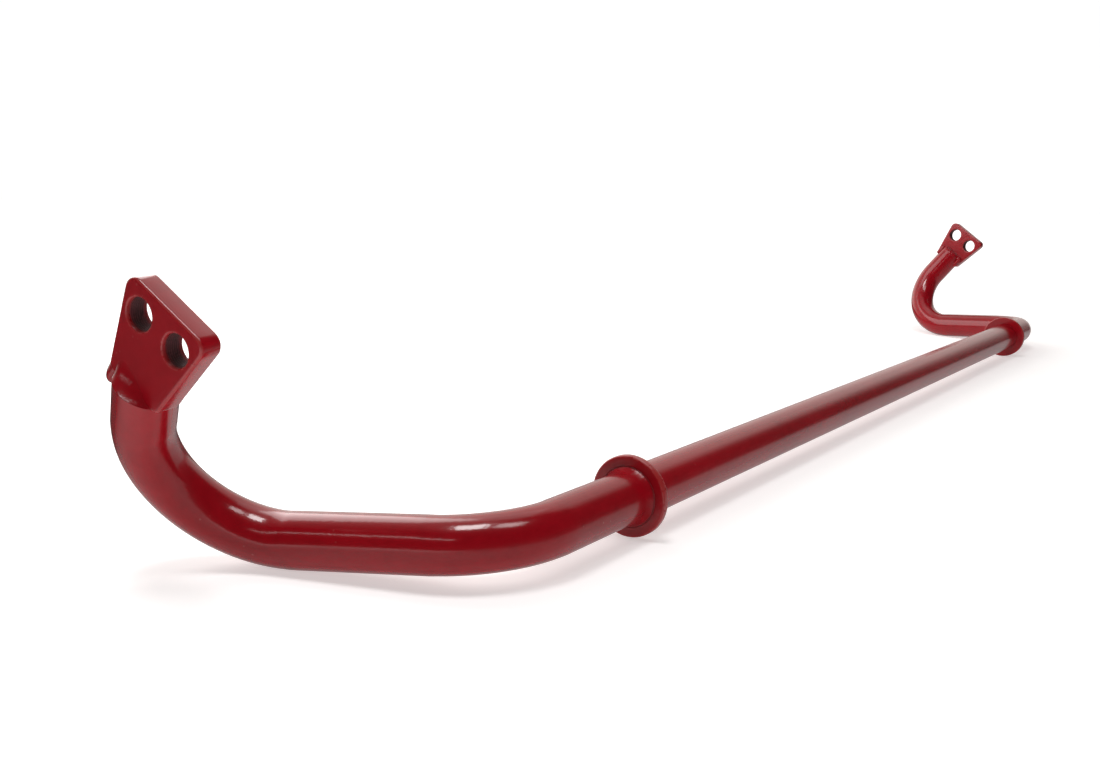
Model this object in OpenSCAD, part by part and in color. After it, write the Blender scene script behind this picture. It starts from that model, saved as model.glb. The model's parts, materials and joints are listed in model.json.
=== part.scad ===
// Sway bar: one round bar bent to a U, two stop collars welded to its straight run,
// and a drilled end plate let into each arm's end.
// Millimetres, +Z up. X runs along the straight run and the arms reach towards +Y.
// The part lies on the plane z = 0, on the rims of its collars and on its outer bends.
// "left" is the -X side and "right" is the +X side.

/* [Bar] */
// Diameter of the round bar
bar_d = 24; // [16:0.5:32]
// Length of the straight run between the two shoulder bends
straight_l = 820; // [500:10:1100]
// Radius of every bend, measured to the bar's centre line
bend_r = 45; // [36:1:70]
// Amount that the bar's surface draws in along each bend
bend_neck = 0.1; // [0.05:0.05:0.4]
// Angle that each shoulder bend turns the bar forward
shoulder_turn = 72; // [60:1:85]
// Straight length of each arm, between its two bends
arm_l = 57; // [30:1:150]
// Angle that each wrist bend turns the arm up and back
wrist_turn = 120; // [90:1:130]
// Angle that the plane of the wrist bend leans back over the arm
wrist_lean = 33; // [0:1:40]
// Straight length from the wrist bend to the bar's cut end
tip_l = 29; // [22:1:60]

/* [Stop collars] */
// Height that the collar's rim stands above the bar
collar_lip = 6.75; // [4:0.25:12]
// Thickness of the collar's flange
collar_t = 4; // [2.5:0.5:8]
// Distance from the collar's outboard face to the start of the shoulder bend
collar_inset = 56; // [10:1:120]
// Height of the fillet weld against the collar's outboard face
collar_weld_leg = 2.4; // [1.5:0.1:3.5]
// Length of the same weld along the bar
collar_weld_run = 6; // [2:0.5:9]
// Depth of the shallow seat that locates the collar on the bar
seat_cut = 0.25; // [0.2:0.05:0.4]

/* [End plates] */
// Thickness of the end plate
plate_t = 9.5; // [6:0.5:12]
// Diameter of each link hole
hole_d = 12.5; // [8.5:0.5:14]
// Distance between the two link holes, centre to centre
hole_spacing = 20; // [18:0.5:32]
// Distance from a hole's centre to the plate's top edge
hole_to_top = 11; // [9:0.5:18]
// Distance from a hole's centre to the plate's top corner, across the plate
hole_to_side = 11.75; // [9:0.25:18]
// Distance from the bar's cut end up to the row of holes
hole_rise = 17; // [13:0.5:30]
// Angle that each plate turns from square to the bar, to face a little to the back
plate_toe = 7; // [-12:1:12]
// Depth that the plate is let into the bar's end
let_in = 11; // [7:0.5:18]
// Distance that the plate's foot stands past the bar on each side
foot_step = 1.75; // [0.5:0.25:4]
// Corner radius at the plate's top
top_corner_r = 5; // [2:0.5:8]
// Corner radius at the plate's foot
foot_corner_r = 3.5; // [1:0.5:5]
// Radius of the bead round the bar's cut end, on the plate's inboard face
inner_bead_r = 3; // [1.5:0.25:4]
// Radius of the bead along the plate's foot, on its outboard face
outer_bead_r = 4.5; // [2:0.25:6]

/* [Hidden] */

$fn = 96;
corner_steps = 8;     // straight pieces in each rounded corner
twist_gap = 0.6;      // between the bar's halves, where its elastic twist is drawn as a hinge
fit_gap = 0.1;        // between the plate and the step it sits in
collar_clearance = 0.05;
tuck = 1;             // how far a straight stretch runs on into a bend
rim_chamfer = 0.5;
past = 1;             // how far a cutter runs past what it cuts

paint = "firebrick";
edge_paint = "darkred";

collar_od = bar_d + 2 * collar_lip;
seat_d = bar_d - 2 * seat_cut;
bend_d = bar_d - 2 * bend_neck;
collar_x = straight_l / 2 - collar_inset - collar_t;   // inboard face of the collar

// Directions of the arm and of the wrist bend, and the place where the wrist bend starts,
// before the arms droop to the ground.
arm_dir = [cos(shoulder_turn), sin(shoulder_turn), 0];
wrist_dir = [sin(wrist_lean) * sin(shoulder_turn), -sin(wrist_lean) * cos(shoulder_turn), cos(wrist_lean)];
wrist_start = [straight_l / 2, 0, 0] + bend_r * [sin(shoulder_turn), 1 - cos(shoulder_turn), 0] + arm_l * arm_dir;
wrist_end = wrist_start + bend_r * (sin(wrist_turn) * arm_dir + (1 - cos(wrist_turn)) * wrist_dir);
tip_dir = cos(wrist_turn) * arm_dir + sin(wrist_turn) * wrist_dir;
bar_end = wrist_end + tip_l * tip_dir;

// Upward and forward parts of a direction once the arms have drooped by an angle.
function rise(v, droop) = v.z * cos(droop) - v.y * sin(droop);
function reach(v, droop) = v.y * cos(droop) + v.z * sin(droop);

// Lowest height of the wrist bend's surface, and its furthest reach: on a circle through
// wrist_start, both lie where the bend runs level with the direction that is measured.
function lowest(droop) = rise(wrist_start, droop) - bend_d / 2
    + bend_r * (rise(wrist_dir, droop) - norm([rise(arm_dir, droop), rise(wrist_dir, droop)]));
function furthest(droop) = reach(wrist_start, droop) + bend_d / 2
    + bend_r * (reach(wrist_dir, droop) + norm([reach(arm_dir, droop), reach(wrist_dir, droop)]));

// The droop that brings the wrist bends down to the level of the collars' rims, by halving.
function droop_between(low, high, steps) = let (middle = (low + high) / 2)
    steps == 0 ? middle
    : lowest(middle) > -collar_od / 2 ? droop_between(middle, high, steps - 1)
    : droop_between(low, middle, steps - 1);
arm_droop = droop_between(0, 30, 40);

// The bar's axis sits so that the whole part is centred on the origin, front to back.
axis_y = (collar_od / 2 - furthest(arm_droop)) / 2;
axis_z = collar_od / 2;

// The plate leans with the bar's end, and its mid-plane meets the bar's axis halfway down
// the let-in stretch.
plate_lean = atan2(-tip_dir.y, tip_dir.z);
plate_x = bar_end.x - tip_dir.x * let_in / 2;
foot_w = bar_d + 2 * foot_step;
top_w = hole_spacing + 2 * hole_to_side;
top_h = hole_rise + hole_to_top;
inner_face = -plate_t / 2;
outer_face = plate_t / 2;

// Points of one rounded corner: the arc of radius r that touches both sides at b.
function corner(a, b, c, r) = let (
        u = (a - b) / norm(a - b), v = (c - b) / norm(c - b),
        half = acos(u * v) / 2,
        middle = b + (u + v) / norm(u + v) * r / sin(half),
        first = b + u * r / tan(half) - middle,
        last = b + v * r / tan(half) - middle,
        turn = 180 - 2 * half)
    [for (i = [0 : corner_steps])
        middle + (first * sin(turn * (1 - i / corner_steps)) + last * sin(turn * i / corner_steps)) / sin(turn)];

// A closed outline with each corner rounded by its own radius.
function rounded(points, radii) = let (n = len(points))
    [for (i = [0 : n - 1]) each corner(points[(i + n - 1) % n], points[i], points[(i + 1) % n], radii[i])];

// Puts a side's shape on the ground. side is -1 for left and 1 for right.
module place(side) {
    mirror([side < 0 ? 1 : 0, 0, 0])
        translate([0, axis_y, axis_z]) rotate([-arm_droop, 0, 0]) children();
}

// The plate's own frame: X is across its thickness, Z runs up it from the bar's cut end.
module plate_frame() {
    translate([plate_x, bar_end.y, bar_end.z]) rotate([plate_lean, 0, 0])
        rotate([0, 0, -plate_toe]) children();
}

// A straight stretch of bar along +X.
module rod(from, to, d = bar_d) {
    translate([from, 0, 0]) rotate([0, 90, 0]) cylinder(d = d, h = to - from);
}

// A bend that starts at the origin along +X and turns towards +Y, and what follows it.
module bend(turn) {
    translate([0, bend_r, 0]) rotate([0, 0, -90])
        rotate_extrude(angle = turn) translate([bend_r, 0]) circle(d = bend_d);
    translate([bend_r * sin(turn), bend_r * (1 - cos(turn)), 0]) rotate([0, 0, turn]) children();
}

// One half of the bar, before its end is cut for the plate.
module bar_blank() {
    rod(twist_gap / 2, straight_l / 2, seat_d);
    rod(twist_gap / 2, collar_x);
    rod(collar_x + collar_t, straight_l / 2 + tuck);
    translate([straight_l / 2, 0, 0]) bend(shoulder_turn) union() {
        rod(-tuck, arm_l + tuck);
        translate([arm_l, 0, 0]) rotate([90 + wrist_lean, 0, 0]) bend(wrist_turn) rod(-tuck, tip_l);
    }
}

// The outboard half of the bar's end is cut away, down to the plate's foot.
module bar_half() {
    cut = 2 * bar_d;
    color(paint) difference() {
        bar_blank();
        plate_frame() translate([inner_face - fit_gap, -cut / 2, -let_in - fit_gap]) cube([cut, cut, cut]);
    }
}

module collar() {
    color(paint) translate([collar_x, 0, 0]) rotate([0, 90, 0]) rotate_extrude()
        polygon([
            [seat_d / 2 + collar_clearance, 0],
            [collar_od / 2 - rim_chamfer, 0],
            [collar_od / 2, rim_chamfer],
            [collar_od / 2, collar_t - rim_chamfer],
            [collar_od / 2 - rim_chamfer, collar_t],
            [seat_d / 2 + collar_clearance, collar_t]]);
}

module collar_weld() {
    color(edge_paint) translate([collar_x + collar_t, 0, 0]) rotate([0, 90, 0]) rotate_extrude()
        translate([bar_d / 2, 0]) polygon([[0, 0], [collar_weld_leg, 0], [0, collar_weld_run]]);
}

// The trapezium plate: across it is X here, and up it is Y.
module plate_outline() {
    polygon(rounded(
        [[-foot_w / 2, -let_in], [foot_w / 2, -let_in], [top_w / 2, top_h], [-top_w / 2, top_h]],
        [foot_corner_r, foot_corner_r, top_corner_r, top_corner_r]));
}

module plate_blank() {
    translate([inner_face, 0, 0]) rotate([90, 0, 90]) linear_extrude(plate_t) plate_outline();
}

module end_plate() {
    color(paint) plate_frame() difference() {
        plate_blank();
        for (s = [-1, 1])
            translate([inner_face - past, s * hole_spacing / 2, hole_rise]) rotate([0, 90, 0])
                cylinder(d = hole_d, h = plate_t + 2 * past);
    }
}

// A bead with round ends, along Y or Z, centred on its own middle.
module bead(r, l, along_z = false) {
    rotate([along_z ? 0 : 90, 0, 0]) {
        cylinder(r = r, h = l, center = true);
        for (s = [-1, 1]) translate([0, 0, s * l / 2]) sphere(r = r);
    }
}

// Half the width of the bar where the plate's inboard face cuts it.
cheek_half = sqrt(pow(bar_d / 2, 2) - pow(inner_face, 2));

// The weld on the inboard face: one bead across the bar's cut end and one down each side.
module plate_weld_inner() {
    color(edge_paint) difference() {
        plate_frame() translate([inner_face, 0, 0]) {
            bead(inner_bead_r, 2 * cheek_half);
            for (s = [-1, 1])
                translate([0, s * cheek_half, -let_in / 2]) bead(inner_bead_r * 0.7, let_in * 0.8, true);
        }
        bar_blank();
        plate_frame() plate_blank();
    }
}

// The weld on the outboard face: a bead in the step at the plate's foot.
module plate_weld_outer() {
    color(edge_paint) difference() {
        plate_frame() translate([outer_face, 0, -let_in]) bead(outer_bead_r, 2 * (cheek_half - outer_bead_r));
        bar_half();
        plate_frame() plate_blank();
    }
}

place(-1) bar_half();  // bar_left
place(1) bar_half();  // bar_right
place(-1) collar();  // collar_left
place(1) collar();  // collar_right
place(-1) collar_weld();  // collar_weld_left
place(1) collar_weld();  // collar_weld_right
place(-1) end_plate();  // end_plate_left
place(1) end_plate();  // end_plate_right
place(-1) plate_weld_inner();  // plate_weld_inner_left
place(1) plate_weld_inner();  // plate_weld_inner_right
place(-1) plate_weld_outer();  // plate_weld_outer_left
place(1) plate_weld_outer();  // plate_weld_outer_right
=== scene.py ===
import json
import math

import bpy
import numpy as np
from mathutils import Matrix, geometry


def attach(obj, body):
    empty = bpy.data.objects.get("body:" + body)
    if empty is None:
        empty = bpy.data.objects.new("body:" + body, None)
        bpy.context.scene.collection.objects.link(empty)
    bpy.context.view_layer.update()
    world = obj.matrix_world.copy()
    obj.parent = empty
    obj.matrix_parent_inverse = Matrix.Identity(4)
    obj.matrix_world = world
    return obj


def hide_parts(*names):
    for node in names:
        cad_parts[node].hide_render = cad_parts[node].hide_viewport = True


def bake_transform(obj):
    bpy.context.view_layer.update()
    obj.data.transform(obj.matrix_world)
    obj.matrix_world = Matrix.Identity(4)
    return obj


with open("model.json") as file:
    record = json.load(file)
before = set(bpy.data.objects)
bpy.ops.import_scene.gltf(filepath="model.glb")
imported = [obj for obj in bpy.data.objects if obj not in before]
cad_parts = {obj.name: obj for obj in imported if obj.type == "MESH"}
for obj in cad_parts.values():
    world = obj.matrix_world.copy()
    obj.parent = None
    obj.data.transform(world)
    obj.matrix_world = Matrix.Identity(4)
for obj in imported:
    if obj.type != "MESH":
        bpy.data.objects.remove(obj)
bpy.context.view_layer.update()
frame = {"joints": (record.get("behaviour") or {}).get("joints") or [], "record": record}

# A sway bar: a round bar bent to a U, two stop collars and two drilled end plates, all in
# gloss red powder coat. Metres, Z up, X along the straight run; the arms reach towards +Y.
# Each piece is worked out for the right side and mirrored for the left one, and the two sides
# differ only in their unevenness and in their drops of weld metal.
bar = {
    "radius": 0.01196,       # a hair under its solid's, so that the skin stays inside it
    "straight": 0.82,        # between the two shoulder bends
    "bendRadius": 0.045,
    "shoulderTurn": 72,      # degrees, forward
    "arm": 0.057,            # straight part of each arm
    "wristTurn": 120,        # degrees, up and back
    "wristLean": 33,         # degrees that the wrist bend leans back over the arm
    "tip": 0.029,            # straight part up to the cut end
    "neck": 0.0001,          # the bar draws in this much along a bend
    "flat": 0.0006,          # and this much more on the inside of a bend
    "easeIn": 0.012,         # length over which a bend's shape comes in
    "lapStep": 0.00012,      # height of the step at the foot of the lap
    "columns": 120,
    "runStep": 0.004,        # between rings on the straight run
    "bendStep": 0.0011,      # between rings everywhere else
}
plate = {
    "thick": 0.0095,
    "letIn": 0.011,          # the plate's foot sits this far below the bar's cut end
    "top": 0.028,            # and its top edge this far above it
    "footHalf": 0.01375,
    "topHalf": 0.02175,
    "footCorner": 0.0035,
    "topCorner": 0.005,
    "holeRadius": 0.00625,
    "holeHalf": 0.01,        # half the distance between the holes
    "holeRise": 0.017,
    "toe": 7,                # degrees that the plate turns about its own height, to face the back
    "edge": 0.0011,          # rounding of the cut edge under the paint
    "margin": 0.0006,        # flat strip next to a rounded edge
    "lip": 0.0007,           # rounding at a hole's mouth
    "mistReach": 0.0011,     # of the paint into a hole, from either mouth
    "boreSides": 72,
    "cornerPoints": 10,
    "sideStep": 0.002,       # between the points of a straight side
    "waveHigh": 0.00003,     # waviness of the faces
    "waveScale": 260,
}
hair = 0.00005               # a clearance or an overlap too small to see


def unit(v):
    return v / np.linalg.norm(v)


def smooth(t):
    # smoothstep of t held between 0 and 1
    t = np.clip(t, 0, 1)
    return t * t * (3 - 2 * t)


def ripple(a, b, c, seed):
    # uneven surface between -1 and 1: five sines in changing directions over three coordinates
    total = 0
    for i in range(5):
        turn = seed * 1.7 + i * 2.399
        wave = a * math.cos(turn) + b * math.sin(turn) + c * math.cos(turn * 1.6 + 0.5)
        total = total + np.sin(wave * (1 + 0.37 * i) + seed * 3.1 + i * 1.3)
    return total / 5


# Directions of the arm, of the wrist bend and of the tip, before the arms droop to the floor.
turnS, turnW, lean = (math.radians(bar[k]) for k in ("shoulderTurn", "wristTurn", "wristLean"))
alongX = np.array([1.0, 0, 0])
armDir = np.array([math.cos(turnS), math.sin(turnS), 0])
wristDir = np.array([math.sin(lean) * math.sin(turnS), -math.sin(lean) * math.cos(turnS), math.cos(lean)])
tipDir = math.cos(turnW) * armDir + math.sin(turnW) * wristDir
wristStart = (np.array([bar["straight"] / 2, 0, 0]) + bar["arm"] * armDir
              + bar["bendRadius"] * np.array([math.sin(turnS), 1 - math.cos(turnS), 0]))
barEnd = (wristStart + bar["tip"] * tipDir
          + bar["bendRadius"] * (math.sin(turnW) * armDir + (1 - math.cos(turnW)) * wristDir))

# The plate's own frame: x across its thickness and outwards, w across it, u up it.
plateUp = unit(np.array([0, tipDir[1], tipDir[2]]))
leanAcross = np.cross(plateUp, alongX)
toe = math.radians(plate["toe"])
plateOut = math.cos(toe) * alongX - math.sin(toe) * leanAcross
plateAcross = math.sin(toe) * alongX + math.cos(toe) * leanAcross
plateOrigin = np.array([barEnd[0] - tipDir[0] * plate["letIn"] / 2, barEnd[1], barEnd[2]])
slope = tipDir @ plateUp                     # how fast u rises along the tip
inFace, outFace = -plate["thick"] / 2, plate["thick"] / 2

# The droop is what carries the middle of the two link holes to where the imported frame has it.
joint = frame["joints"][0]
axisPlace = np.array(joint["pos_m"], float)
holes = [m["pos_m"] for m in frame["record"]["mounts"] if m["name"].startswith("right_link_hole")]
holeMiddle = np.mean(np.array(holes, float), axis=0) - axisPlace
holeFlat = plateOrigin + plate["holeRise"] * plateUp
droop = math.atan2(holeFlat[2], holeFlat[1]) - math.atan2(holeMiddle[2], holeMiddle[1])
down = np.array([[1, 0, 0],
                 [0, math.cos(droop), math.sin(droop)],
                 [0, -math.sin(droop), math.cos(droop)]])


def onFloor(points, side):
    # turned down by the droop, moved to the bar's axis, and mirrored for the left side
    return (points @ down.T + axisPlace) * np.array([side, 1, 1])


def inPlate(x, w, u):
    # from the plate's own frame to the frame of the undrooped bar
    return (plateOrigin + np.asarray(x)[..., None] * plateOut
            + np.asarray(w)[..., None] * plateAcross + np.asarray(u)[..., None] * plateUp)


def barSection(psi, u, grow=0.0):
    # (x, w) of the bar's skin at the height u: an ellipse, seen from the turned plate
    flatX = tipDir[0] * (u / slope + plate["letIn"] / 2) + (bar["radius"] / slope + grow) * np.cos(psi)
    flatW = (bar["radius"] + grow) * np.sin(psi)
    return (flatX * math.cos(toe) - flatW * math.sin(toe),
            flatX * math.sin(toe) + flatW * math.cos(toe))


# The ellipse's x in the plate's frame is middle + sectionReach * cos(psi - sectionTurn).
sectionReach = bar["radius"] * math.hypot(math.sin(toe), math.cos(toe) / slope)
sectionTurn = -math.atan2(math.sin(toe), math.cos(toe) / slope)


def crossing(face, u):
    # half the angle of psi over which the section lies past x = face
    middle = tipDir[0] * (u / slope + plate["letIn"] / 2) * math.cos(toe)
    return math.acos((face - middle) / sectionReach)


def gridFaces(rows, cols, first=0, loopRows=False):
    # quads of a grid whose columns join up, and whose rows do too if loopRows is true
    i = np.arange(rows if loopRows else rows - 1)[:, None]
    j = np.arange(cols)[None, :]
    nextI, nextJ = (i + 1) % rows, (j + 1) % cols
    quads = np.stack([i * cols + j, i * cols + nextJ, nextI * cols + nextJ, nextI * cols + j], -1)
    return quads.reshape(-1, 4) + first


def closedGrid(points):
    # a grid of rings, closed by a fan at its first and last ring
    rows, cols = points.shape[:2]
    verts = np.vstack([points.reshape(-1, 3), points[0].mean(0), points[-1].mean(0)])
    j = np.arange(cols)
    k = (j + 1) % cols
    base = (rows - 1) * cols
    caps = [np.stack([k, j, np.full(cols, rows * cols)], -1),
            np.stack([base + j, base + k, np.full(cols, rows * cols + 1)], -1)]
    return verts, [gridFaces(rows, cols)] + caps


def loopedGrid(points):
    # a grid that joins up both ways, as a ring does
    rows, cols = points.shape[:2]
    return points.reshape(-1, 3), [gridFaces(rows, cols, loopRows=True)]


def turnedOut(verts, faces):
    # the faces as they are, or all turned round if the shell holds a negative volume
    volume = 0
    for f in faces:
        for i in range(1, f.shape[1] - 1):
            a, b, c = (verts[f[:, n]] for n in (0, i, i + 1))
            volume += np.einsum("ij,ij->i", a, np.cross(b, c)).sum()
    return faces if volume > 0 else [f[:, ::-1] for f in faces]


def makePiece(name, shells, materials, sharp, slots=None, values=None):
    # joins closed shells of (verts, faces) into one mesh whose faces point outwards
    verts, faces, start = [], [], 0
    for shellVerts, shellFaces in shells:
        centred = shellVerts - shellVerts.mean(0)
        faces += [f + start for f in turnedOut(centred, shellFaces)]
        verts.append(shellVerts)
        start += len(shellVerts)
    mesh = bpy.data.meshes.new(name)
    mesh.from_pydata(np.vstack(verts).tolist(), [], [f for part in faces for f in part.tolist()])
    for material in materials:
        mesh.materials.append(material)
    if slots is not None:
        mesh.polygons.foreach_set("material_index", np.asarray(slots, np.int32))
    for key, numbers in (values or {}).items():
        mesh.attributes.new(key, "FLOAT", "POINT").data.foreach_set("value", numbers.astype(np.float32))
    mesh.shade_smooth()
    mesh.set_sharp_from_angle(angle=math.radians(sharp))
    mesh.update()
    piece = bpy.data.objects.new(name, mesh)
    bpy.context.scene.collection.objects.link(piece)
    return piece


# Shader graphs: nodes are added by addNode, and arithmetic on wires is written as Python sums.

def addNode(tree, kind, settings=None, sockets=None, output=0):
    # any node: its settings first, then a value or a wire for each socket
    node = tree.nodes.new(kind)
    for key, value in (settings or {}).items():
        setattr(node, key, value)
    for key, value in (sockets or {}).items():
        if isinstance(value, Wire):
            tree.links.new(value.socket, node.inputs[key])
        else:
            node.inputs[key].default_value = value
    return Wire(node.outputs[output]) if node.outputs else None


class Wire:
    # an output socket; sums, differences and products of wires add Math nodes

    def __init__(self, socket):
        self.socket = socket

    def calc(self, operation, first, second=0.0, clamp=False):
        return addNode(self.socket.id_data, "ShaderNodeMath",
                       {"operation": operation, "use_clamp": clamp}, {0: first, 1: second})

    def __add__(self, other):
        return self.calc("ADD", self, other)

    def __sub__(self, other):
        return self.calc("SUBTRACT", self, other)

    def __rsub__(self, other):
        return self.calc("SUBTRACT", other, self)

    def __mul__(self, other):
        return self.calc("MULTIPLY", self, other)

    __radd__ = __add__
    __rmul__ = __mul__

    def held(self):
        # kept between 0 and 1
        return self.calc("ADD", self, 0.0, clamp=True)

    def over(self, low, high):
        # 0 at low and 1 at high, held in between
        return self.calc("MULTIPLY", self - low, 1 / (high - low), clamp=True)


def newTree(name):
    material = bpy.data.materials.new(name)
    material.use_nodes = True
    material.node_tree.nodes.clear()
    return material, material.node_tree


def noise(tree, place, scale, detail, rough=0.5, warp=0.0):
    return addNode(tree, "ShaderNodeTexNoise", {}, {
        "Vector": place, "Scale": scale, "Detail": detail, "Roughness": rough, "Distortion": warp})


def pattern(tree, place, look, low, high):
    # a noise whose values from low to high become 0 to 1; look is its scale, detail, roughness and warp
    return noise(tree, place, *look).over(low, high)


def mixed(tree, share, first, second):
    return addNode(tree, "ShaderNodeMix", {"data_type": "RGBA"}, {0: share, 6: first, 7: second}, output=2)


def axisOf(tree, vector, axis):
    return addNode(tree, "ShaderNodeSeparateXYZ", {}, {0: vector}, output=axis)


def attribute(tree, name):
    return addNode(tree, "ShaderNodeAttribute", {"attribute_name": name}, output=2)


paintLook = {
    "deep": (0.23, 0.0015, 0.0055, 1),     # thick coat
    "bright": (0.33, 0.003, 0.0095, 1),    # usual coat
    "thinEdgeSheen": (0.4, 0.04, 0.035, 1),         # paint drawn thin over an edge, with a painted highlight along it
    "dust": (0.36, 0.1, 0.09, 1),
    # painted shade, laid into grooves and along weld toes
    "paintedShade": (0.11, 0.004, 0.006, 1),
    "roughness": 0.1,
    "gloss": 0.45,                         # strength of the sharp gloss under the soft one
    "haze": 1.0,                           # weight of the soft outer layer
    "hazeRoughness": 0.26,
    "hazeIor": 1.22,
    "peel": 0.16,                          # strength of the orange peel
    "peelDeep": 0.0004,
    "thinEdgeSheenShare": 0.5,                       # how far the colour goes to the thin paint and painted highlight over an edge
    "nibScale": 260.0,
    # each pattern: its scale, detail, roughness and warp, then the noise that becomes 0 and 1
    "drift": ((14.0, 3.0), 0.35, 0.7),
    "mottle": ((190.0, 4.0, 0.6), 0.3, 0.75),
    "edgeBreakup": ((420.0, 3.0), 0.3, 0.75),
    "sparse": ((75.0, 1.0), 0.56, 0.66),
    "rub": ((55.0, 5.0, 0.65, 0.6), 0.45, 0.8),
    # these two keep their noise as it is
    "bumps": (620.0, 2.0, 0.45),
    "grain": (2400.0, 2.0, 0.5),
}


def powderCoat(name, look):
    # gloss coat: drifting depth of colour, orange peel, a few nibs and specks, faint rubbing marks, thin
    # paint with a painted highlight along edges, and painted shade in grooves
    material, tree = newTree(name)
    place = addNode(tree, "ShaderNodeTexCoord", {}, output=3)
    drift, mottle, edgeBreakup, sparse, rub = (pattern(tree, place, *look[key])
                                        for key in ("drift", "mottle", "edgeBreakup", "sparse", "rub"))
    colour = mixed(tree, (drift * 0.55 + mottle * 0.45).held(), look["deep"], look["bright"])
    # edges get thin paint and a painted highlight, broken up by noise
    edge = attribute(tree, "edge")
    thinEdgeAndSheen = (edge * (edgeBreakup * 0.6 + 0.4)).held()
    colour = mixed(tree, thinEdgeAndSheen * look["thinEdgeSheenShare"], colour, look["thinEdgeSheen"])
    # painted shade in grooves and along weld toes, which also roughens them
    creviceShade = attribute(tree, "creviceShade")
    colour = mixed(tree, (creviceShade * 0.7).held(), colour, look["paintedShade"])
    cells = addNode(tree, "ShaderNodeTexVoronoi", {"feature": "F1"},
                    {"Vector": place, "Scale": look["nibScale"]})
    nibs = (1.0 - cells.over(0.05, 0.16)) * sparse
    colour = mixed(tree, (nibs * 0.35).held(), colour, look["dust"])
    bumps, grain = (noise(tree, place, *look[key]) for key in ("bumps", "grain"))
    height = bumps * 0.7 + grain * 0.12 + nibs * 0.35
    bump = addNode(tree, "ShaderNodeBump", {}, {
        "Strength": look["peel"], "Distance": look["peelDeep"], "Height": height})
    rough = look["roughness"] + rub * 0.04 + grain * 0.03 + creviceShade * 0.3 + thinEdgeAndSheen * 0.3
    shader = addNode(tree, "ShaderNodeBsdfPrincipled", {}, {
        "Base Color": colour, "Roughness": rough, "Normal": bump, "IOR": 1.5,
        "Specular IOR Level": look["gloss"], "Coat Weight": look["haze"],
        "Coat Roughness": look["hazeRoughness"], "Coat IOR": look["hazeIor"]})
    addNode(tree, "ShaderNodeOutputMaterial", {}, {"Surface": shader})
    return material


boreLook = {
    "steel": (0.15, 0.05, 0.055, 1),
    "dark": (0.035, 0.01, 0.012, 1),
    "overspray": (0.24, 0.01, 0.016, 1),
    "pitch": 0.00095,                      # between the drill's feed marks
    "stray": 2.2,                          # how far the marks wander, in radians
    "wander": (240.0, 2.0),
    "mist": (500.0, 3.0),
    "stain": ((330.0, 4.0, 0.65), 0.3, 0.7),
    "markDeep": 0.00025,
}


def drilledSteel(name, look):
    # bore wall: dark steel with fine feed marks round it, and red mist at both mouths
    material, tree = newTree(name)
    place = addNode(tree, "ShaderNodeTexCoord", {}, output=3)
    x = axisOf(tree, place, 0)
    wander, mist = (noise(tree, place, *look[key]) for key in ("wander", "mist"))
    turns = x * (2 * math.pi / look["pitch"]) + wander * look["stray"]
    marks = turns.calc("SINE", turns) * 0.5 + 0.5
    stain = pattern(tree, place, *look["stain"])
    colour = mixed(tree, (stain * 0.6 + marks * 0.4).held(), look["dark"], look["steel"])
    mouth = (attribute(tree, "edge") + mist * 0.6 - 0.3).held()
    colour = mixed(tree, mouth, colour, look["overspray"])
    bump = addNode(tree, "ShaderNodeBump", {}, {
        "Strength": 0.7, "Distance": look["markDeep"], "Height": marks * 0.8 + stain * 0.5})
    shader = addNode(tree, "ShaderNodeBsdfPrincipled", {}, {
        "Base Color": colour, "Roughness": 0.5 + stain * 0.25, "Metallic": 0.2 - mouth * 0.2,
        "Specular IOR Level": 0.3, "Normal": bump})
    addNode(tree, "ShaderNodeOutputMaterial", {}, {"Surface": shader})
    return material


barCoat = powderCoat("barCoat", paintLook)
collarCoat = powderCoat("collarCoat", {**paintLook, "roughness": 0.08, "peel": 0.2})
plateCoat = powderCoat("plateCoat", {**paintLook, "roughness": 0.12, "peel": 0.1})
weldCoat = powderCoat("weldCoat", {**paintLook, "roughness": 0.17, "peel": 0.4, "thinEdgeSheenShare": 0.8})
boreSteel = drilledSteel("boreSteel", boreLook)
print("materials made")


leanStretch, lapStretch = 4, 5       # the centre line's stretches below and beside the plate


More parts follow.
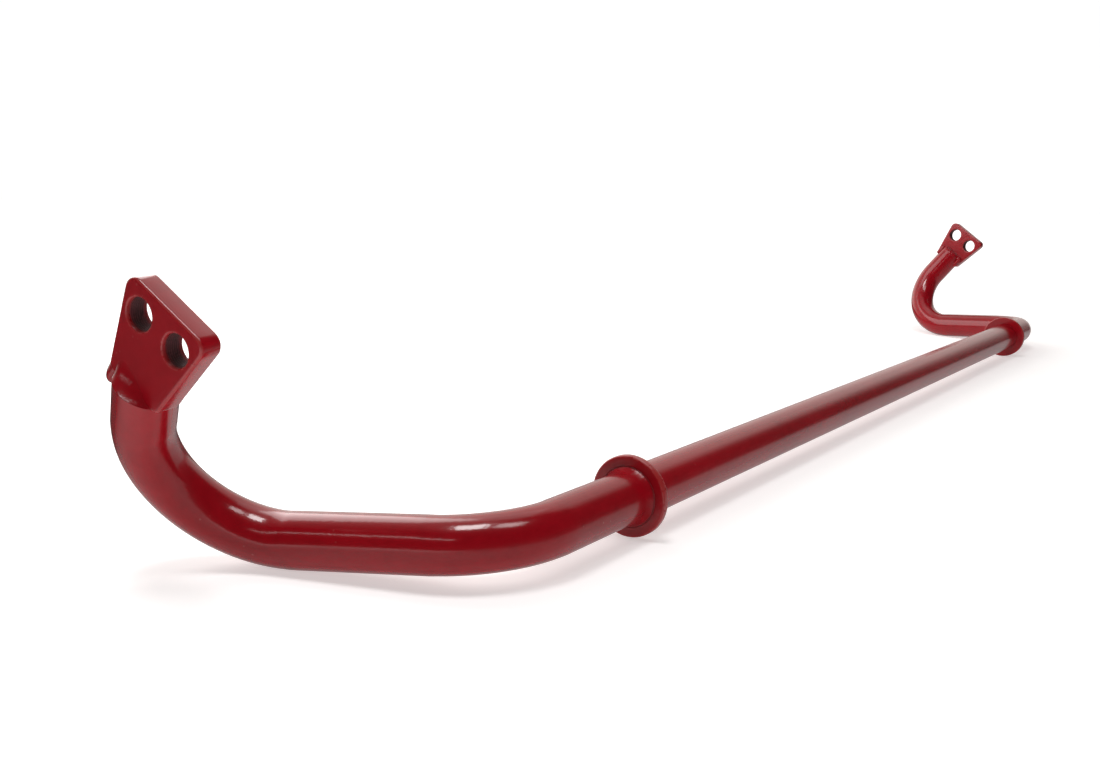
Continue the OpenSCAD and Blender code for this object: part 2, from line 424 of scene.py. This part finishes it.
def centreLine():
    # From the middle of the bar to its right cut end, a straight or an arc at a time. A straight
    # is place + t * heading. An arc of radius r is place + r (sin a * heading + (1 - cos a) * aside),
    # and the ring's upright turns with it. Each ring also gets its side towards the bend's centre,
    # and how far into the bend's shape it is.
    place, heading, upright = np.zeros(3), alongX, np.array([0, 0, 1.0])
    footAt = bar["tip"] - plate["letIn"] / slope
    stretches = [
        (bar["straight"] / 2, 0, None, bar["runStep"]),
        (bar["bendRadius"] * turnS, turnS, np.array([0, 1.0, 0]), bar["bendStep"]),
        (bar["arm"], 0, None, bar["bendStep"]),
        (bar["bendRadius"] * turnW, turnW, wristDir, bar["bendStep"]),
        (footAt, 0, None, bar["bendStep"]),
        (bar["tip"] - footAt, 0, None, bar["bendStep"]),
    ]
    rings = {"place": [place[None]], "upright": [upright[None]], "heading": [heading[None]],
             "inner": [np.zeros((1, 3))], "bent": [np.zeros(1)], "part": [np.zeros(1)]}
    for number, (length, turn, aside, step) in enumerate(stretches):
        count = max(2, round(length / step))
        t = (np.arange(count) + 1)[:, None] / count
        if turn:
            a = t * turn
            places = place + bar["bendRadius"] * (np.sin(a) * heading + (1 - np.cos(a)) * aside)
            headings = np.cos(a) * heading + np.sin(a) * aside
            uprights = upright + (upright @ aside) * ((np.cos(a) - 1) * aside - np.sin(a) * heading)
            inners = np.cos(a) * aside - np.sin(a) * heading
            bents = smooth(t * length / bar["easeIn"]) * smooth((1 - t) * length / bar["easeIn"])
        else:
            places = place + t * length * heading
            headings, uprights = heading + 0 * t, upright + 0 * t
            inners, bents = 0 * places, 0 * t
        for key, found in (("place", places), ("heading", headings), ("upright", uprights),
                           ("inner", inners), ("bent", bents[:, 0]), ("part", t[:, 0] + number)):
            rings[key].append(found)
        place, heading, upright = places[-1], headings[-1], uprights[-1]
    return {key: np.concatenate(found) for key, found in rings.items()}


def barRings():
    # A circle carried along the centre line. Through a bend it draws in all round, and more on the
    # inside. Up the tip the rings lean over until they lie level with the plate's foot.
    line = centreLine()
    angle = np.linspace(0, 2 * math.pi, bar["columns"], endpoint=False)
    aside = np.cross(line["heading"], line["upright"])
    out = (np.cos(angle)[None, :, None] * line["upright"][:, None]
           + np.sin(angle)[None, :, None] * aside[:, None])
    inward = np.clip(np.einsum("ijk,ik->ij", out, line["inner"]), 0, 1) ** 2
    bent = line["bent"][:, None]
    neck = np.minimum(bent * 4, 1)
    radius = bar["radius"] - bar["neck"] * neck - bar["flat"] * bent * inward
    points = line["place"][:, None] + radius[..., None] * out
    leaning = smooth(line["part"] - leanStretch)[:, None]
    shift = -leaning * (radius * (out @ plateUp)) / slope
    points = points + shift[..., None] * tipDir
    return line, points


def halfLap(points, rows):
    # The outboard side of the last rings is cut flat along the plate's inboard face: what lies past
    # the face moves onto the chord, spread evenly along it by its angle on the ellipse of the cut.
    face = inFace + hair
    half, deep = bar["radius"], bar["radius"] / slope
    cut = points[rows]
    centre = cut.mean(1, keepdims=True)
    spoke = cut - centre
    psi = np.arctan2((spoke @ leanAcross) / half, (spoke @ alongX) / deep) - sectionTurn
    middleX, middleW = ((centre - plateOrigin) @ axis for axis in (plateOut, plateAcross))
    corner = np.arccos(np.clip((face - middleX) / sectionReach, -1, 1))
    beyond = np.abs(psi) < corner
    ends = [middleW + deep * np.cos(sectionTurn + c) * math.sin(toe)
            + half * np.sin(sectionTurn + c) * math.cos(toe) for c in (-corner, corner)]
    newW = ends[0] + (ends[1] - ends[0]) * (psi / corner + 1) / 2
    x = (cut - plateOrigin) @ plateOut
    w = (cut - plateOrigin) @ plateAcross
    moved = cut + (face - x)[..., None] * plateOut + (newW - w)[..., None] * plateAcross
    points[rows] = np.where(beyond[..., None], moved, cut)
    return points


line, rings = barRings()
lapped = np.flatnonzero(line["part"] > lapStretch + 0.0001)
rings = halfLap(rings, lapped)
footRow = lapped[0]
# one more ring just above the foot, so that the step is square
step = rings[footRow - 1].copy()[None] + bar["lapStep"] * tipDir
step = halfLap(step, np.array([0]))
rings = np.concatenate([rings[:footRow], step, rings[footRow:]])
bothSides = np.concatenate([onFloor(rings[:0:-1], -1), onFloor(rings, 1)])
barSkin = makePiece("barSkin", [closedGrid(bothSides)], [barCoat], sharp=42)
print("bar made:", len(barSkin.data.polygons), "faces")


collar = {
    "place": 0.35,           # inboard face, from the bar's middle
    "thick": 0.004,
    "rim": 0.0187,           # outer radius
    "bore": 0.0118,
    "round": 0.0009,         # rounding of the rim's edges
    "flat": 0.0175,          # the outboard face is flat out to this radius
    "grooveAt": 0.0139,      # where the weld's toe leaves a fine line in the outboard face
    "grooveDeep": 0.00022,
    "grooveHalf": 0.00022,
    "shadeHalf": 0.0004,     # of the band of painted shade along the groove
    "hold": 0.0001,          # one more row this close to an edge keeps the face beside it flat
    "weldHigh": 0.0016,      # of the weld against the collar
    "weldRun": 0.006,        # and its length along the bar
    "columns": 176,
    "weldColumns": 240,
    "wobble": 0.00004,
    "edgeFrom": 0.0172,      # the thin paint and its painted highlight start at this radius
    "edgeOver": 0.0012,      # and are strongest this much further out
    "sink": 0.0001,          # the weld reaches this far into the collar's face
    "weldUnder": 0.0114,     # radius of the weld's hidden underside
    "weldTail": 0.0004,      # the weld fades out this far past its run
    "beads": 46,             # ripples round the weld
    "closingAt": 2.2,        # angle of the heavier stretch where the weld was closed
}


def turned(profile, columns, seed=0.0, wobble=0.0):
    # a closed profile of (x, r) carried once round the bar's axis, with a slight wobble
    angle = np.linspace(0, 2 * math.pi, columns, endpoint=False)
    x, r = profile[:, :1], profile[:, 1:]
    uneven = wobble * ripple(3 * np.cos(angle)[None], 3 * np.sin(angle)[None], x * 500, seed)
    r = r + uneven
    return np.stack([x + uneven, r * np.cos(angle), r * np.sin(angle)], -1)


def arcPoints(centre, radius, start, end, count):
    a = np.radians(np.linspace(start, end, count))
    return np.stack([centre[0] + radius * np.cos(a), centre[1] + radius * np.sin(a)], -1)


def collarProfile():
    # inboard face, rounded rim, outboard face with the fine groove, bore
    c = collar
    near, far = c["place"], c["place"] + c["thick"]
    e = c["round"]
    groove = np.linspace(-1, 1, 9)[::-1]
    return np.vstack([
        [[near, c["bore"]], [near, 0.0145], [near, c["flat"] - c["hold"]], [near, c["flat"]]],
        arcPoints((near + e, c["rim"] - e), e, 180, 90, 7),
        arcPoints((far - e, c["rim"] - e), e, 90, 0, 7),
        [[far, c["flat"]], [far, c["flat"] - c["hold"]],
         [far, c["grooveAt"] + c["grooveHalf"] + c["hold"]]],
        np.stack([far - c["grooveDeep"] * np.cos(groove * math.pi / 2) ** 2,
                  c["grooveAt"] + c["grooveHalf"] * groove], -1),
        [[far, c["bore"]]]])


def collarWeldProfile():
    # hollow taper from the collar's face down to the bar, closed underneath:
    # r = bar + high * (1 - t) ^ 2.2 over the weld's run
    c = collar
    far = c["place"] + c["thick"]
    t = np.linspace(0, 1, 19)
    out = np.stack([far - c["sink"] + (c["weldRun"] + c["weldTail"]) * t,
                    bar["radius"] - 0.00006 + c["weldHigh"] * (1 - t) ** 2.2], -1)
    return np.vstack([out, [[far + 0.001, c["weldUnder"]], [far - c["sink"], c["weldUnder"]]]])


def makeCollar(side, name):
    points = turned(collarProfile(), collar["columns"], seed=side, wobble=collar["wobble"])
    r = np.hypot(points[..., 1], points[..., 2]).ravel()
    edge = smooth((r - collar["edgeFrom"]) / collar["edgeOver"])
    outboard = points[..., 0].ravel() > collar["place"] + 0.75 * collar["thick"]
    # a band of painted shade along the groove on the outboard face
    creviceShade = 0.7 * np.exp(-((r - collar["grooveAt"]) / collar["shadeHalf"]) ** 2) * outboard
    verts, faces = loopedGrid(onFloor(points, side))
    return makePiece("collar_" + name, [(verts, faces)], [collarCoat], 40,
                     values={"edge": edge, "creviceShade": creviceShade})


def makeCollarWeld(side, name):
    # the fillet's size ripples a little round the bar, with one heavier stretch where it was closed
    points = turned(collarWeldProfile(), collar["weldColumns"])
    angle = np.arctan2(points[..., 2], points[..., 1])
    r = np.hypot(points[..., 1], points[..., 2])
    height = np.clip((r - bar["radius"]) / collar["weldHigh"], 0, 1)
    beads = 0.00005 * np.sin(angle * collar["beads"] + 3 * height + side)
    slow = 0.0002 * np.sin(angle * 3 + side * 2)
    closing = 0.0003 * np.exp(-((angle - collar["closingAt"]) / 0.25) ** 2)
    points = points + (beads + slow + closing)[..., None] * height[..., None] * alongX
    # painted shade along the top of the weld, where it meets the collar's face
    creviceShade = smooth((height - 0.85) / 0.15).ravel() * 0.5
    verts, faces = loopedGrid(onFloor(points, side))
    return makePiece("collarWeld_" + name, [(verts, faces)], [weldCoat], 60, values={"creviceShade": creviceShade})


def roundedOutline():
    # the trapezium (w, u), counter-clockwise: each corner an arc, and points along each side
    p = plate
    corners = np.array([[-p["footHalf"], -p["letIn"]], [p["footHalf"], -p["letIn"]],
                        [p["topHalf"], p["top"]], [-p["topHalf"], p["top"]]])
    radii = [p["footCorner"], p["footCorner"], p["topCorner"], p["topCorner"]]
    points, normals = [], []
    for i in range(4):
        a, b, c = corners[i - 1], corners[i], corners[(i + 1) % 4]
        toA, toC = unit(a - b), unit(c - b)
        half = math.acos(toA @ toC) / 2
        middle = b + unit(toA + toC) * radii[i] / math.sin(half)
        first = math.atan2(*(b + toA * radii[i] / math.tan(half) - middle)[::-1])
        angles = first + np.linspace(0, math.pi - 2 * half, p["cornerPoints"])
        spokes = np.stack([np.cos(angles), np.sin(angles)], -1)
        points.append(middle + radii[i] * spokes)
        normals.append(spokes)
    allPoints, allNormals = [], []
    for i in range(4):
        start, end = points[i][-1], points[(i + 1) % 4][0]
        count = max(2, round(np.linalg.norm(end - start) / p["sideStep"]))
        t = (np.arange(1, count) / count)[:, None]
        allPoints += [points[i], start + t * (end - start)]
        allNormals += [normals[i], normals[i][-1] + 0 * t]
    return np.concatenate(allPoints), np.concatenate(allNormals)


def faceFill(loops):
    # triangles of the flat face between the outline and the holes
    verts = np.concatenate(loops)
    edges, start = [], 0
    for loop in loops:
        n = len(loop)
        edges += [(start + i, start + (i + 1) % n) for i in range(n)]
        start += n
    found = geometry.delaunay_2d_cdt([tuple(v) for v in verts], edges, [], 1, 1e-9)
    source = np.array([ids[0] for ids in found[3]])
    tris = source[np.array(found[2])]
    middles = verts[tris].mean(1)
    inHole = np.zeros(len(tris), bool)
    for loop in loops[1:]:
        centre = loop.mean(0)
        radius = np.linalg.norm(loop[0] - centre)
        inHole |= np.linalg.norm(middles - centre, axis=1) < radius * 0.999
    return tris[~inHole]


def makePlate(side, name):
    p = plate
    outline, normals = roundedOutline()
    e, m, lip = p["edge"], p["margin"], p["lip"]
    turn = np.linspace(0, math.pi / 2, 6)
    # rim: (x, inset) from the margin on the inboard face round to the margin on the outboard one
    inner = np.stack([inFace + e * (1 - np.cos(turn)), e * (1 - np.sin(turn))], -1)
    rim = np.vstack([[[inFace, e + m]], inner, [[0, 0]], (inner * [-1, 1])[::-1], [[outFace, e + m]]])
    rimLoops = outline[None] - rim[:, 1][:, None, None] * normals[None]
    rimX = np.repeat(rim[:, :1], len(outline), 1)
    # bore: (x, how far the wall stands back) from mouth to mouth
    mouth = np.stack([inFace + lip * (1 - np.cos(turn)), lip * (1 - np.sin(turn))], -1)
    wall = np.stack([np.linspace(inFace + lip, -inFace - lip, 12)[1:-1], np.zeros(10)], -1)
    bore = np.vstack([[[inFace, lip + m]], mouth, wall, (mouth * [-1, 1])[::-1], [[outFace, lip + m]]])
    angle = np.linspace(0, 2 * math.pi, p["boreSides"], endpoint=False)
    circle = np.stack([np.cos(angle), np.sin(angle)], -1)
    # how much of an edge each row is: none on the flats, so that nothing spreads over a face
    lift = np.sin(2 * turn)
    rimEdge = np.concatenate([[0], lift, [0], lift[::-1], [0]])
    # at the holes this sets the thin paint and painted highlight on the lips, and the red mist down the
    # bores
    boreEdge = np.exp(-((np.abs(bore[:, 0]) - outFace + lip) / p["mistReach"]) ** 2)
    boreEdge[[0, -1]] = 0
    grids = [(rimX, rimLoops)]
    for s in (-1, 1):
        centre = np.array([s * p["holeHalf"], p["holeRise"]])
        loops = centre + (p["holeRadius"] + bore[:, 1])[:, None, None] * circle[None]
        grids.append((np.repeat(bore[:, :1], p["boreSides"], 1), loops))
    verts, faces, edge, isBore, start = [], [], [], [], 0
    inLoop, outLoop = [], []
    for number, (x, loops) in enumerate(grids):
        rows, cols = x.shape
        grid = gridFaces(rows, cols, start)
        faces.append(grid if number == 0 else grid[:, ::-1])
        deep = (x > inFace + 0.0001) & (x < outFace - lip * 1.2)
        isBore.append(np.repeat((number > 0) & deep[:-1, 0] & deep[1:, 0], cols))
        edge.append(np.repeat(rimEdge if number == 0 else boreEdge, cols))
        inLoop.append(start + np.arange(cols))
        outLoop.append(start + (rows - 1) * cols + np.arange(cols))
        verts.append(np.concatenate([x[..., None], loops], -1).reshape(-1, 3))
        start += rows * cols
    flat = np.vstack(verts)
    for chosen, flip in ((inLoop, True), (outLoop, False)):
        ids = np.concatenate(chosen)
        tris = ids[faceFill([flat[loop][:, 1:] for loop in chosen])]
        faces.append(tris[:, ::-1] if flip else tris)
        isBore.append(np.zeros(len(tris), bool))
    # the faces all turn the same way, so makePiece can turn the whole shell outwards at once
    across, height = flat[:, 1] * p["waveScale"], flat[:, 2] * p["waveScale"]
    flat[:, 0] += p["waveHigh"] * ripple(across, height, 0, 2 + side)
    places = onFloor(inPlate(flat[:, 0], flat[:, 1], flat[:, 2]), side)
    return makePiece("endPlate_" + name, [(places, faces)], [plateCoat, boreSteel], 40,
                     slots=np.concatenate(isBore), values={"edge": np.concatenate(edge)})


weld = {
    "cheekTop": -0.0018,     # where the end bead starts on the bar, below the cut end
    "toe": 0.0019,           # where it lands on the plate, above the cut end
    "rippleStep": 0.0014,    # between the ripples of a bead
    "rippleHigh": 0.00007,
    "beadStep": 0.00025,     # between the rings of a bead
    "slowHigh": 0.00022,     # the slow unevenness of a weld
    "endWander": 0.0002,     # and of the end bead's height
    "endTrim": 0.12,         # radians by which the end bead stops short of the plate's face
    "dropUneven": 0.09,      # share of a drop's size
    "sideHigh": 0.0021,      # radius of the beads down the bar's sides
    "sideAt": 0.0114,        # where those beads run, across from the plate's middle
    "sideWander": 0.0004,
    "sideFrom": -0.0108,     # and how far up they start
    "sideRun": 0.0112,
    "rampHigh": 0.0095,      # of the outboard weld where it is tallest
    "rampLeast": 0.0006,     # and where it is lowest
    "sink": 0.0002,          # hidden edges reach this far into the steel
    # drops of weld metal on each side's plate: centre and size in the plate's frame, and seed
    "drops": {-1: [((0.0, 0.0124, -0.0128), (0.0047, 0.0040, 0.0062), 2.0),
                   ((inFace - 0.0010, 0.0112, 0.0006), (0.0021, 0.0027, 0.0024), 3.0)],
              1: [((inFace - 0.0013, -0.0112, -0.0004), (0.0022, 0.0028, 0.0021), 1.0),
                  ((inFace - 0.0010, -0.0124, -0.0035), (0.0022, 0.0022, 0.0030), 4.0)]},
}


def endBead(side):
    # Over the bar's cut end: each point of the half-round cheek, at its own angle, rises and closes
    # in to the plate's face along a quarter of an ellipse, with ripples across it.
    base = weld["cheekTop"]
    corner = crossing(inFace, base) - weld["endTrim"]
    psi = sectionTurn + np.linspace(corner, 2 * math.pi - corner, 72)[None, :]
    t = np.linspace(0, 1, 22)[:, None]
    rise = np.sin(t * math.pi / 2)
    close = np.cos(t * math.pi / 2)
    edgeX, edgeW = barSection(psi, base, weld["sink"])
    x = inFace + (edgeX - inFace) * close ** 0.8
    w = edgeW * (1 - 0.1 * t)
    across = w / weld["rippleStep"] * 2 * math.pi
    uneven = weld["rippleHigh"] * np.sin(across + 2.5 * t) * np.sin(t * math.pi)
    u = base + (weld["toe"] - base) * rise + uneven + weld["endWander"] * np.sin(w * 420 + side)
    x = np.minimum(x - uneven, inFace + 0.0004 + 0 * w)
    front = inPlate(x, w, u)
    back = inPlate(0 * x + inFace + 0.0012, w * 0.97, np.minimum(u - 0.0006, weld["toe"] - 0.001))
    shell = np.concatenate([front, back[:, ::-1]], 1)
    return closedGrid(shell)


def bead(path, radius, seed):
    # A round bead along a path of points: rings square to the path, whose size ripples with the
    # distance along it and closes in at both ends like a ball.
    steps = np.linalg.norm(np.diff(path, axis=0), axis=1)
    run = np.concatenate([[0], np.cumsum(steps)])
    count = max(16, round(run[-1] / weld["beadStep"]))
    s = np.linspace(0, run[-1], count)
    line = np.stack([np.interp(s, run, path[:, k]) for k in range(3)], -1)
    heading = np.gradient(line, s, axis=0)
    heading /= np.linalg.norm(heading, axis=1)[:, None]
    aside = np.cross(heading, alongX)
    aside /= np.linalg.norm(aside, axis=1)[:, None]
    up = np.cross(aside, heading)
    ends = np.minimum(s, run[-1] - s) / radius
    ball = np.sqrt(np.clip(1 - (1 - np.clip(ends + 0.02, 0, 1)) ** 2, 0, 1))
    angle = np.linspace(0, 2 * math.pi, 28, endpoint=False)[None, :]
    beads = weld["rippleHigh"] * np.sin(s[:, None] / weld["rippleStep"] * 2 * math.pi + 1.2 * np.cos(angle))
    slow = weld["slowHigh"] * ripple(s[:, None] * 420, np.cos(angle), np.sin(angle), seed)
    r = (radius + beads + slow) * ball[:, None]
    return (line[:, None] + (r * np.cos(angle))[..., None] * aside[:, None]
            + (r * np.sin(angle))[..., None] * up[:, None])


def lump(centre, size, seed):
    # a drop of weld metal: an ellipsoid (x, w, u) with an uneven skin
    lat = np.linspace(0.02, math.pi - 0.02, 30)[:, None]
    lon = np.linspace(0, 2 * math.pi, 44, endpoint=False)[None, :]
    dx, dw, du = np.cos(lat) + 0 * lon, np.sin(lat) * np.cos(lon), np.sin(lat) * np.sin(lon)
    grow = 1 + weld["dropUneven"] * ripple(dx * 2.6, dw * 2.6, du * 2.6, seed)
    return inPlate(centre[0] + size[0] * dx * grow, centre[1] + size[1] * dw * grow,
                   centre[2] + size[2] * du * grow)


def makeInnerWeld(side, name):
    # the end bead, a bead down each side of the cheek, and a few drops of weld metal
    shells = []
    for s in (-1, 1):
        t = np.linspace(0, 1, 24)
        w = s * (weld["sideAt"] + weld["sideWander"] * np.sin(t * 5 + s))
        u = weld["sideFrom"] + t * weld["sideRun"]
        path = inPlate(0 * t + inFace - weld["sink"], w, u)
        shells.append(bead(path, weld["sideHigh"], seed=side + s * 2))
    shells += [lump(*drop) for drop in weld["drops"][side]]
    parts = [endBead(side)] + [closedGrid(s) for s in shells]
    parts = [(onFloor(v, side), f) for v, f in parts]
    return makePiece("plateWeldInner_" + name, parts, [weldCoat], 60)


def makeOuterWeld(side, name):
    # A smooth ramp from the plate's outboard face down to the round edge of the bar's shoulder.
    # Across the foot its height grows from one corner to the other. Down each line x grows from the
    # plate's face to the bar's edge as t ^ 2.1. The unevenness fades to nothing at the corners.
    foot = -plate["letIn"]
    reach = crossing(outFace, foot) * 0.995
    share = np.linspace(-1, 1, 84)[:, None]
    edgeX, edgeW = barSection(sectionTurn + share * reach, foot, -hair)
    t = np.linspace(0, 1, 18)[None, :]
    fade = np.clip(1 - share ** 2, 0, 1) ** 0.5
    tall = weld["rampLeast"] + weld["rampHigh"] * smooth((share + 1.0) / 1.7) ** 1.2
    root = outFace - weld["sink"]
    x = root + (edgeX - root) * t ** 2.1
    topW = edgeW * 1.04 + 0.0006 * (share + 1)
    w = topW + (edgeW - topW) * t
    u = foot + tall * (1 - t) + hair
    across = w / 0.0021 * 2 * math.pi
    uneven = 0.00001 * np.sin(across + 2 * t) * np.sin(t * math.pi)
    slow = weld["slowHigh"] * ripple(w * 190, u * 190, x * 120, side + 3.0)
    uneven = uneven + slow * np.sin(t * math.pi) * fade
    front = inPlate(x + uneven, w, u + uneven)
    backX = np.array([0.0, -0.0012, -0.0012])[None, :] + outFace + 0 * edgeW
    backX[:, 0] = (edgeX[:, 0] + outFace) / 2
    backU = foot - 0.0004 + np.array([0, 0, 0.0008])[None, :] + 0 * edgeW
    back = inPlate(backX, 0 * backX + edgeW, backU)
    verts, faces = closedGrid(np.concatenate([front, back], 1))
    return makePiece("plateWeldOuter_" + name, [(onFloor(verts, side), faces)], [weldCoat], 55)


for side, name in ((-1, "left"), (1, "right")):
    body = name + "_half"
    made = [
        (makeCollar(side, name), "collar_", "collar_paint"),
        (makeCollarWeld(side, name), "collar_weld_", "weld_paint"),
        (makePlate(side, name), "end_plate_", "plate_paint"),
        (makeInnerWeld(side, name), "plate_weld_inner_", "weld_paint"),
        (makeOuterWeld(side, name), "plate_weld_outer_", "weld_paint"),
    ]
    for piece, node, slot in made:
        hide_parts(node + name)
        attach(piece, body)
    print(name, "side made")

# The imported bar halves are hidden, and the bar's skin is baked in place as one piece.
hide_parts("bar_left", "bar_right")
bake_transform(barSkin)


# The stage: a pale floor and room, soft boxes, and the camera.
view = {
    "place": (-0.7598, -0.2981, 0.1532),
    "yaw": 34.87,            # degrees from +X towards +Y
    "pitch": 10.03,          # down
    "roll": 0.77,
    "lens": 35.69,
}
light = {
    "floor": 0.74,
    "floorGlow": 0.46,       # near the object
    "floorRise": 0.9,        # added to it with distance
    "riseOver": (0.3, 2.6),
    "floorHalf": 9.0,
    "wall": 1.6,             # brightness of the pale wall beyond the object
    "front": 0.03,           # and of the dark end of the room, where the camera stands
    "lampHeight": 1.5,
    # each lamp: how far it hangs ahead of the near shoulder and to its right, its width to the
    # right, its length ahead, and its brightness
    "lamps": {"lampNear": (-0.17, -0.10, 0.44, 0.46, 14.0),
              "lampRight": (-0.2, 0.52, 0.5, 0.4, 6.0),
              "lampFar": (0.95, 0.1, 0.9, 0.9, 0.5)},
    # these face a target: place, target, width, length and brightness
    "aimed": {
        # a thin strip out past the near arm, whose line runs down the arm's gloss
        "strip": ((-1.63, 0.08, 0.94), (-0.46, 0.0, 0.012), 0.07, 1.2, 3.8),
        # a box behind the bar, which lights the far arm
        "lampEnd": ((-0.1, 0.6, 0.5), (0.5, 0.05, 0.06), 0.8, 0.8, 2.4)},
}
# The pale sheet under the object, as its gloss sees it: along X it rises and then dims, and along Y
# it rises at its back edge and ends at its front one. Each pair is where a change starts and ends.
sheetLook = {
    "rise": (-1.15, -0.95),
    "dim": (-0.68, -0.56),
    "back": (-0.3, -0.06),
    "front": (0.06, 0.22),
    "bright": 1.2,
    "dimmed": 0.75,          # taken off past the dim stretch
    "beyond": 0.96,          # how much of its light the floor loses past the sheet
}
# The pale wall, by direction: it starts across its heading and along X, and falls off at far X and high Z.
wallLook = {
    "heading": (0.17, 0.985, 0.0),
    "from": (-0.1, 0.13),
    "nearX": (-0.5, 0.45),
    "farX": (0.35, 0.8),
    "high": (0.62, 0.85),
    "fall": 0.6,
    "tint": (1, 0.91, 0.86, 1),
    "seenTint": (1, 0.995, 0.985, 1),
    "seenGlow": 1.02,
}


def directions(yaw, pitch, roll):
    # the camera's forward, right and up, from its angles in degrees
    y, p, r = (math.radians(a) for a in (yaw, pitch, roll))
    forward = np.array([math.cos(p) * math.cos(y), math.cos(p) * math.sin(y), -math.sin(p)])
    level = np.array([math.sin(y), -math.cos(y), 0])
    steep = np.cross(level, forward)
    right = level * math.cos(r) + steep * math.sin(r)
    return forward, right, np.cross(right, forward)


forward, right, up = directions(view["yaw"], view["pitch"], view["roll"])


def makeCamera():
    camera = bpy.data.objects.new("camera", bpy.data.cameras.new("camera"))
    turn = Matrix(np.stack([right, up, -forward], 1).tolist()).to_4x4()
    camera.matrix_world = Matrix.Translation(view["place"]) @ turn
    camera.data.lens = view["lens"]
    camera.data.clip_start = 0.01
    bpy.context.scene.collection.objects.link(camera)
    bpy.context.scene.camera = camera


def makeFloor():
    # a wide floor whose glow grows with distance, so that it runs into the pale room
    mesh = bpy.data.meshes.new("floor")
    size = light["floorHalf"]
    mesh.from_pydata([(-size, -size, 0), (size, -size, 0), (size, size, 0), (-size, size, 0)], [],
                     [(0, 1, 2, 3)])
    floor = bpy.data.objects.new("floor", mesh)
    floor.location.z = -0.0001
    bpy.context.scene.collection.objects.link(floor)
    material, tree = newTree("paleFloor")
    place = addNode(tree, "ShaderNodeTexCoord", {}, output=3)
    away = addNode(tree, "ShaderNodeVectorMath", {"operation": "LENGTH"}, {0: place}, output=1)
    glow = away.over(*light["riseOver"]) * light["floorRise"] + light["floorGlow"]
    # the object's gloss sees the floor dark but for the sheet that it lies on
    x, y = (axisOf(tree, place, axis) for axis in (0, 1))
    s = sheetLook
    sheet = (s["bright"] - x.over(*s["dim"]) * s["dimmed"]) * x.over(*s["rise"])
    sheet = sheet * y.over(*s["back"]) * (1.0 - y.over(*s["front"]))
    gloss = addNode(tree, "ShaderNodeLightPath", {}, output="Is Glossy Ray")
    lit = 1.0 - gloss * (s["beyond"] - sheet * s["beyond"])
    tone = light["floor"]
    pale = mixed(tree, lit, (0, 0, 0, 1), (tone, tone * 0.985, tone * 0.98, 1))
    shader = addNode(tree, "ShaderNodeBsdfPrincipled", {}, {
        "Base Color": pale, "Roughness": 0.6, "Specular IOR Level": 0.0,
        "Emission Color": (1, 0.99, 0.985, 1), "Emission Strength": glow * lit})
    addNode(tree, "ShaderNodeOutputMaterial", {}, {"Surface": shader})
    mesh.materials.append(material)


def makeRoom():
    # pale wall beyond the object, dark on the camera's side, plain white where it is seen
    world = bpy.data.worlds.new("room")
    world.use_nodes = True
    bpy.context.scene.world = world
    tree = world.node_tree
    tree.nodes.clear()
    toSky = addNode(tree, "ShaderNodeTexCoord", {}, output=0)
    x, z = (axisOf(tree, toSky, axis) for axis in (0, 2))
    w = wallLook
    across = addNode(tree, "ShaderNodeVectorMath", {"operation": "DOT_PRODUCT"},
                     {0: toSky, 1: w["heading"]}, output=1)
    share = across.over(*w["from"]) * x.over(*w["nearX"])
    share = share * (1.0 - x.over(*w["farX"]) * w["fall"]) * (1.0 - z.over(*w["high"]) * w["fall"])
    glow = share * (light["wall"] - light["front"]) + light["front"]
    seen = addNode(tree, "ShaderNodeLightPath", {}, output="Is Camera Ray")
    strength = glow * (1.0 - seen) + seen * w["seenGlow"]
    tint = mixed(tree, seen, w["tint"], w["seenTint"])
    shader = addNode(tree, "ShaderNodeBackground", {}, {"Color": tint, "Strength": strength})
    addNode(tree, "ShaderNodeOutputWorld", {}, {"Surface": shader})


def addLamp(name, width, length, brightness, place, axes):
    # a soft box at a place; the axes' columns are its width, its length and what it shines away from
    data = bpy.data.lights.new(name, "AREA")
    data.shape = "RECTANGLE"
    data.size, data.size_y = width, length
    data.energy = brightness * math.pi * width * length
    lamp = bpy.data.objects.new(name, data)
    turn = Matrix(np.stack(axes, 1).tolist()).to_4x4()
    lamp.matrix_world = Matrix.Translation(place) @ turn
    bpy.context.scene.collection.objects.link(lamp)


def makeLamp(name, ahead, aside, width, length, brightness):
    # a level soft box, hung from the near shoulder's place and turned to the camera's heading
    heading = unit(np.array([forward[0], forward[1], 0]))
    toRight = np.cross(heading, [0, 0, 1])
    shoulder = np.array([-bar["straight"] / 2, axisPlace[1], 0])
    place = shoulder + ahead * heading + aside * toRight + np.array([0, 0, light["lampHeight"]])
    addLamp(name, width, length, brightness, place, [toRight, heading, [0, 0, 1]])


def makeAimed(name, place, target, width, length, brightness):
    # a soft box that faces its target, with its length as near to Y as it can lie
    back = unit(np.array(place) - np.array(target))
    across = unit(np.cross([0, 1.0, 0], back))
    addLamp(name, width, length, brightness, place, [across, np.cross(back, across), back])


makeCamera()
makeFloor()
makeRoom()
for name, numbers in light["lamps"].items():
    makeLamp(name, *numbers)
for name, numbers in light["aimed"].items():
    makeAimed(name, *numbers)
bpy.context.scene.view_settings.view_transform = "Standard"
print("floor, light and camera made")
